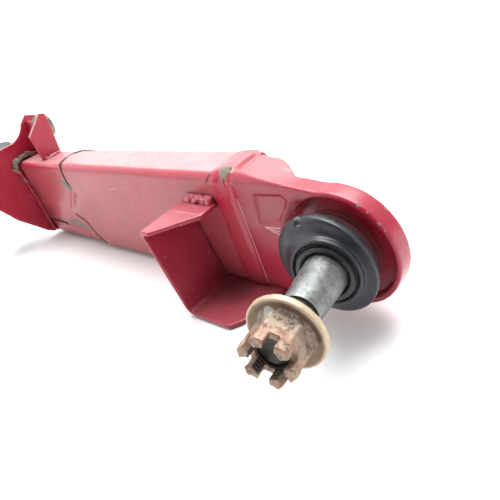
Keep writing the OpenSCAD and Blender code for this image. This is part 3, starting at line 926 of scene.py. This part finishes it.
def shank_profile():
    """Ball, neck, flare, taper and relief of the stud, up to the thread."""
    points = []
    for i in range(25):
        a = math.radians(-90 + 140 * i / 24)
        points.append((max(BALL_R * math.cos(a), 0.02), BALL_R * math.sin(a)))
    points += [(8.0, 10.6), (8.0, 15.0), (9.2, 19.5), (10.1, 23.0), (10.55, 25.0), (10.7, 26.2)]
    points.append(TAPER_BIG)
    (big_r, big_z), (small_r, small_z) = TAPER_BIG, TAPER_SMALL
    for i in range(1, TAPER_STEPS + 1):
        t = i / TAPER_STEPS
        points.append((big_r + (small_r - big_r) * t, big_z + (small_z - big_z) * t))
    points += [(8.75, 55.7), (8.1, 55.9), (7.6, 56.3), (7.6, 61.4), (7.0, THREAD_START)]
    return points


def make_stud(steel, dark):
    """The ball stud in one turned piece, pale up to the end of its taper, with a dark thread."""
    place = stud_matrix()
    bm = bmesh.new()
    steps = 96
    rings = [circle(place, radius, height, steps) for radius, height in shank_profile()]
    z = THREAD_START
    while z < THREAD_END:
        z = min(z + THREAD_RING, THREAD_END)
        starting = smoothstep(THREAD_START, THREAD_START + 1.5, z)
        ending = 1.0 - smoothstep(THREAD_END - 1.2, THREAD_END, z) * 0.9
        ring = []
        for i in range(steps):
            a = 2 * math.pi * i / steps
            phase = (z / THREAD_PITCH - i / steps) % 1.0
            tooth = smoothstep(0.12, 0.88, 1 - abs(2 * phase - 1))
            radius = (THREAD_ROOT + (THREAD_CREST - THREAD_ROOT) * tooth * ending * starting) * MM
            ring.append(place @ Vector((radius * math.cos(a), radius * math.sin(a), z * MM)))
        rings.append(ring)
    ring_grid(bm, rings)
    stud = new_object("ball_stud_turned", bm)
    shade_smooth(stud, 45)
    finish_piece(stud, "stud", "stud_steel", steel, "ball_stud")
    stud.data.materials.append(dark)
    inverse = place.inverted()
    for polygon in stud.data.polygons:
        if (inverse @ polygon.center).z > PALE_END * MM:
            polygon.material_index = 1


def make_nut(material):
    """Worn flange nut: the CAD nut with a crusted foot, softened edges and a thread in its bore."""
    place = stud_matrix()
    inverse = place.inverted()
    foot = [(7.6, 68.2), (13.6, 68.3), (13.4, 69.2), (12.5, 70.0), (11.0, 71.0), (7.6, 71.0)]
    foot = lathe("nut_foot", foot, place, 64)
    bore_r, tooth_depth = 7.8, 0.55

    def worn(co, normal):
        local = inverse @ co
        r = math.hypot(local.x, local.y)
        if r < bore_r * MM:
            turn = math.atan2(local.y, local.x) / (2 * math.pi)
            tooth = abs(2 * ((local.z / MM / THREAD_PITCH - turn) % 1.0) - 1)
            outward = (place.to_3x3() @ Vector((local.x, local.y, 0))).normalized()
            return outward * tooth_depth * MM * tooth
        tips = smoothstep(78 * MM, 86 * MM, local.z)
        return normal * MM * (0.18 + 0.25 * tips) * noise.noise(co * 300)

    nut = soften("flange_nut", "castle_nut_worn", 0.32 * MM, 3, shape=worn, extra=[foot])
    finish_piece(nut, "nut", "nut_steel", material, "flange_nut")


# ---------------------------------------------------------------- bracket, plate, ear and welds

def make_sheet_parts(paint, shaded_bracket_paint):
    """The bracket, plate, ear and web, each with softened edges and a slight waviness."""
    bracket_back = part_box("side_bracket")[1].y
    ear_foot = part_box("ear_flange")[0].z
    tuck, root = 6 * MM, 1.6 * MM

    def tucked(co, normal):
        low = 1 - smoothstep(-37 * MM, -34 * MM, co.z - MID_Z)
        return Vector((0, tuck * low * smoothstep(bracket_back - 9 * MM, bracket_back - 1 * MM, co.y), 0))

    def rooted(co, normal):
        return Vector((0, 0, -root * (1 - smoothstep(1 * MM, 5 * MM, co.z - ear_foot))))

    # Node, new name, voxel, wobble and its size in mm, shape and paint
    sheets = (("side_bracket", "side_bracket_folded", 0.6, 0.25, 18, tucked, shaded_bracket_paint),
              ("pivot_plate", "pivot_plate_pressed", 0.8, 0.35, 15, None, paint),
              ("ear_flange", "ear_folded", 0.55, 0.15, 10, rooted, paint),
              ("pivot_web", "pivot_web_pressed", 0.7, 0.15, 10, None, paint))
    for node, name, voxel, wobble, size, shape, finish in sheets:
        sheet = soften(node, name, voxel * MM, 3, wobble * MM, size * MM, shape)
        finish_piece(sheet, "arm", "red_paint", finish, node)


def make_beads(fresh_paint, weld, pivot_paint):
    """The weld beads round the bracket, the ear, the tube and the plate."""
    # Node, finish, voxel, wobble and its size in mm, and material
    beads = (("ear_weld", "red_paint", 0.4, 0.8, 3.5, fresh_paint),
             ("bracket_weld", "red_paint", 0.4, 1.1, 3.5, fresh_paint),
             ("tube_weld", "bare_weld", 0.5, 0.5, 3, weld))
    for node, slot, voxel, wobble, size, material in beads:
        bead = soften(node, node + "_bead", voxel * MM, 3, wobble * MM, size * MM)
        finish_piece(bead, "arm", slot, material, node)

    def heavy_corner(co, normal):
        """Heavy lumps at the upper front corner, and the rest of the bead sunk a little."""
        y, z = (co.y - MID_Y) / MM, (co.z - MID_Z) / MM
        heavy = smoothstep(22, 31, z) * (1 - smoothstep(-4, 6, y))
        lumps = 0.6 + 0.7 * noise.noise(co * 260) + 0.5 * noise.noise(co * 620)
        sideways = Vector((0, y, z - 20)).normalized()
        sunk = 0.7 * (1 - smoothstep(16, 22, z)) + 2.5 * (1 - smoothstep(-37, -31, z))
        return sideways * 4.0 * MM * heavy * lumps - Vector((0, y, z)).normalized() * MM * sunk

    bead = soften("pivot_weld", "pivot_weld_bead", 0.5 * MM, 4, 0.6 * MM, 3.5 * MM, heavy_corner)
    finish_piece(bead, "arm", "bare_weld", pivot_paint, "pivot_weld")


def make_plug_weld(weld):
    """A low dome of weld on the collar's upper front corner, sized in mm."""
    facing = Vector((0, -0.62, 0.78)).to_track_quat("Z", "Y").to_matrix().to_4x4()
    place = Matrix.Translation(arm(299.8, -11.6, 37.3)) @ facing
    radius, rise, root = 4.2, 2.3, -2.5
    turns = [math.radians(9 * i) for i in range(9)]
    profile = [(radius, root)] + [(radius * math.cos(a), rise * math.sin(a)) for a in turns]
    profile.append((0.05, rise))
    dome = lathe("plug_weld_dome", profile, place, 48, loop=False)
    for v in dome.data.vertices:
        v.co += v.normal * 0.45 * MM * noise.noise(v.co * 420)
    shade_smooth(dome)
    finish_piece(dome, "arm", "bare_weld", weld, "plug_weld")


# ---------------------------------------------------------------- stage

CAMERA_FROM_BALL = Vector((131.9, -161.7, 131.6)) * MM
CAMERA_AZIMUTH, CAMERA_ELEVATION, CAMERA_ROLL = 51.70, 29.73, -20.95
SUN_ENERGY = 4.4
SUN_ANGLE = 52
SUN_DIRECTION = (0.12, -0.36, -1.0)
# Brightness of the surroundings on the camera's side and behind the object
FRONT_SKY = 0.2
BACK_SKY = 1.7
SKY_AXIS = (-0.78, 0.62, 0.1)


def make_camera():
    """A close view from the ball joint's front and right, rolled to one side."""
    camera = bpy.data.objects.new("camera", bpy.data.cameras.new("camera"))
    camera.data.lens = 36
    camera.data.sensor_width = 36
    camera.location = BALL + CAMERA_FROM_BALL
    azimuth, elevation = math.radians(CAMERA_AZIMUTH), math.radians(CAMERA_ELEVATION)
    roll = math.radians(CAMERA_ROLL)
    back = Vector((math.sin(azimuth) * math.cos(elevation), -math.cos(azimuth) * math.cos(elevation),
                   math.sin(elevation)))
    camera.rotation_mode = "QUATERNION"
    camera.rotation_quaternion = (-back).to_track_quat("-Z", "Y") @ Quaternion((0, 0, 1), roll)
    camera.data.clip_start = 0.01
    bpy.context.scene.collection.objects.link(camera)
    bpy.context.scene.camera = camera


def make_floor():
    """A pale floor just under the object, far wider than the view."""
    s = Shader("pale_floor")
    tone = s.noise(300 * MM, 2)
    s.finish(s.mix(tone, (0.86, 0.86, 0.86), (0.9, 0.9, 0.9)), 0.6)
    bm = bmesh.new()
    bmesh.ops.create_grid(bm, x_segments=1, y_segments=1, size=60)
    floor = new_object("floor", bm)
    floor.location = (BALL.x, 0, FLOOR_Z - 0.05 * MM)
    floor.data.materials.append(s.material)


def area_light(name, place, target, size, power):
    """A round light at a place, turned to the target."""
    data = bpy.data.lights.new(name, "AREA")
    data.shape = "DISK"
    data.size = size
    data.energy = power
    light = bpy.data.objects.new(name, data)
    light.location = place
    light.rotation_mode = "QUATERNION"
    light.rotation_quaternion = (Vector(target) - Vector(place)).to_track_quat("-Z", "Y")
    bpy.context.scene.collection.objects.link(light)


def make_world():
    """Surroundings brighter behind the object than in front of it, which look white all round."""
    world = bpy.data.worlds.new("studio")
    bpy.context.scene.world = world
    world.use_nodes = True
    tree = world.node_tree
    direction = tree.nodes.new("ShaderNodeTexCoord").outputs["Generated"]
    side = tree.nodes.new("ShaderNodeVectorMath")
    side.operation = "DOT_PRODUCT"
    side.inputs[1].default_value = SKY_AXIS
    tree.links.new(direction, side.inputs[0])
    ramp = tree.nodes.new("ShaderNodeMapRange")
    ramp.interpolation_type = "SMOOTHSTEP"
    for index, value in enumerate((-0.5, 0.55, FRONT_SKY, BACK_SKY), 1):
        ramp.inputs[index].default_value = value
    tree.links.new(side.outputs["Value"], ramp.inputs[0])
    seen = tree.nodes.new("ShaderNodeMath")
    seen.operation = "MAXIMUM"
    tree.links.new(ramp.outputs[0], seen.inputs[0])
    tree.links.new(tree.nodes.new("ShaderNodeLightPath").outputs["Is Camera Ray"], seen.inputs[1])
    background = tree.nodes["Background"]
    background.inputs[0].default_value = (1, 1, 1, 1)
    tree.links.new(seen.outputs[0], background.inputs[1])


def make_light():
    """A broad soft light from above and behind, and weak ones from the left and the right."""
    make_world()
    data = bpy.data.lights.new("above", "SUN")
    data.energy = SUN_ENERGY
    data.angle = math.radians(SUN_ANGLE)
    sun = bpy.data.objects.new("above", data)
    sun.rotation_mode = "QUATERNION"
    sun.rotation_quaternion = Vector(SUN_DIRECTION).to_track_quat("-Z", "Y")
    bpy.context.scene.collection.objects.link(sun)
    middle = Vector((BALL.x * 0.6, MID_Y, MID_Z))
    area_light("left", middle + Vector((-0.6, -0.7, 0.5)), middle, 0.7, 1.2)
    area_light("right", middle + Vector((1.0, 0.1, 0.4)), middle, 0.5, 2.0)
    view = bpy.context.scene.view_settings
    view.view_transform = "Standard"
    view.exposure = 0.0


# ---------------------------------------------------------------- the object

make_camera()
make_floor()
make_light()

# Marks on the paint: painted shade of the open joint and crack lines in dark lines, scratch marks
# and painted highlights along edges in pale ones, ground patches round the welds, mud low down,
# painted shade as cleaner, darker patches, and dustier areas
paint_beam = red_paint(
    "paint_beam", dust=0.5, grime_and_shade=0.4, chips=0.3, wrinkles=0.65,
    bare=[(arm(112, -16, 17), 2.8), (arm(109, -16, -25), 3.0)],
    dark_lines=painted_gap_shade(0.9, 2.5) + [
        # Painted shade of the gap along the beam's rear top edge
        (arm(103, 6, 38), arm(110, 11, 38), 3.0),
        (arm(110, 11, 38), arm(128, 12, 37.8), 2.4),
        (arm(289.5, -13, 37.8), arm(291.5, 2, 38), 0.7),
        (arm(291.5, 2, 38), arm(292.5, 16, 37.5), 0.5),
        (arm(286, -16, 33), arm(289.5, -13, 37.8), 0.5)])
paint_collar = red_paint(
    "paint_collar", dust=0.2, grime_and_shade=0.3, chips=0.15,
    spots=[(arm(300, -14, -36), 9)],
    shade=[(arm(298, -14, 27), 12)],
    dark_lines=[(arm(292, 2, 38.8), arm(293, 15, 38.5), 0.5)])
paint_stub = red_paint(
    "paint_stub", dust=0.42, grime_and_shade=0.6, chips=0.4,
    spots=[(arm(32, -14, 8), 9), (arm(38, -14, -14), 8)],
    bare=[(arm(103, -15, 21), 4.4), (arm(107, -15, 17.5), 3.2),
          (arm(80, -14.4, -19.5), 4.6), (arm(90, -14.4, -20.5), 4.8),
          (arm(99, -14.4, -24), 4.2), (arm(27, -14.4, -20.5), 2)],
    # The stub's side of the open gap is darkened too: painted shade
    dark_lines=painted_gap_shade(-2, 1.6) + [(arm(28, -14, -21.5), arm(64, -13.6, -23.5), 1.6)])
paint_knuckle = red_paint(
    "paint_knuckle", dust=0.06, grime_and_shade=0.35, chips=0.5, base=DARK_RED,
    dusty=[(arm(329, -15, 19), 9), (arm(326, 0, 38), 20), (arm(312, -16, 14), 8)],
    spots=[(arm(350, -10.5, 23), 6), (arm(312, -14, -36), 7)],
    bare=[(on_rim(58, 0.4), 0.6), (on_rim(49, 0.5), 0.5), (on_rim(36, 0.3), 0.8),
          (on_rim(29, 0.6), 0.5), (on_rim(41, 10), 0.9), (on_rim(20, 10.5), 0.8),
          (on_rim(4, 10.3), 0.7), (arm(337, -15, 33), 0.8)],
    pale_lines=[(arm(320.5, -16, 8.2), arm(331, -16, 8.6), 0.45),
             (arm(321, -16, 7.6), arm(331.5, -16, 6.2), 0.4),
             (arm(324, -16, 6.2), arm(331.5, -16, 3.8), 0.4),
             # A pale line down the collar's right edge: painted highlight of its ridge
             (arm(306.4, -16, 24), arm(306.8, -16, -33), 0.3)])
paint_plate = red_paint(
    "paint_plate", dust=0.1, grime_and_shade=0.6, chips=0.8,
    # Pale lines along the ear's cut edges: painted highlight of the sheet's edge
    pale_lines=[(arm(69, 8.9, 72), arm(69, -7.5, 58.8), 0.8),
             (arm(69, -7.5, 58.8), arm(69, -10, 46), 0.7)])
# The bracket's darker red is painted shade
paint_bracket_shaded = red_paint(
    "paint_bracket_shaded", dust=0.12, grime_and_shade=0.6, chips=0.7, base=SHADED_BRACKET_RED,
    spots=[(arm(284, -20, -30), 13), (arm(288, -26, -37), 10)],
    dark_lines=[(arm(293, -16, -34.6), arm(300, -18, -33.5), 1.2)])
paint_fresh = red_paint("paint_fresh", dust=0.05, grime_and_shade=0.5, chips=0.3, coat=0.9)
paint_bead = red_paint(
    "paint_bead", dust=0.15, grime_and_shade=0.9, chips=0.8,
    bare=[(arm(29.5, -14, 37), 8), (arm(29.5, -4, 39), 7), (arm(29.5, -17, 21), 2.3),
          (arm(29.5, -17, -19.5), 2.2)])

make_beam(paint_beam)
make_collar(paint_collar)
make_stub(paint_stub)
make_splice_weld(paint_stub)
make_knuckle(paint_knuckle)
make_boot(boot_rubber())
make_stud(stud_steel(), thread_steel())
make_nut(nut_zinc())
make_sheet_parts(paint_plate, paint_bracket_shaded)
make_beads(paint_fresh, bare_weld("weld_steel"), paint_bead)
make_plug_weld(bare_weld("plug_steel", 0.2))

# CAD pieces that keep their own shapes
black = dark_steel("black_steel")
worn = dark_steel("worn_steel", (0.22, 0.21, 0.19), 0.7, 0.5)
dress("joint_housing", paint_knuckle)
for node in ("end_cap", "boot_lip_ring", "pressure_plate", "spring_washer"):
    dress(node, black)
dress("boot_base_ring", dark_steel("ring_steel", (0.18, 0.04, 0.045), 0.2, 0.5))
for node in ("link_sleeve", "bush_shell", "pivot_sleeve"):
    dress(node, worn)
dress("pivot_tube", paint_plate)
dress("bush_rubber", moulded("bush_rubber", (0.03, 0.03, 0.033)))
dress("bearing_seat", moulded("seat_plastic", (0.8, 0.78, 0.7), 0.4))
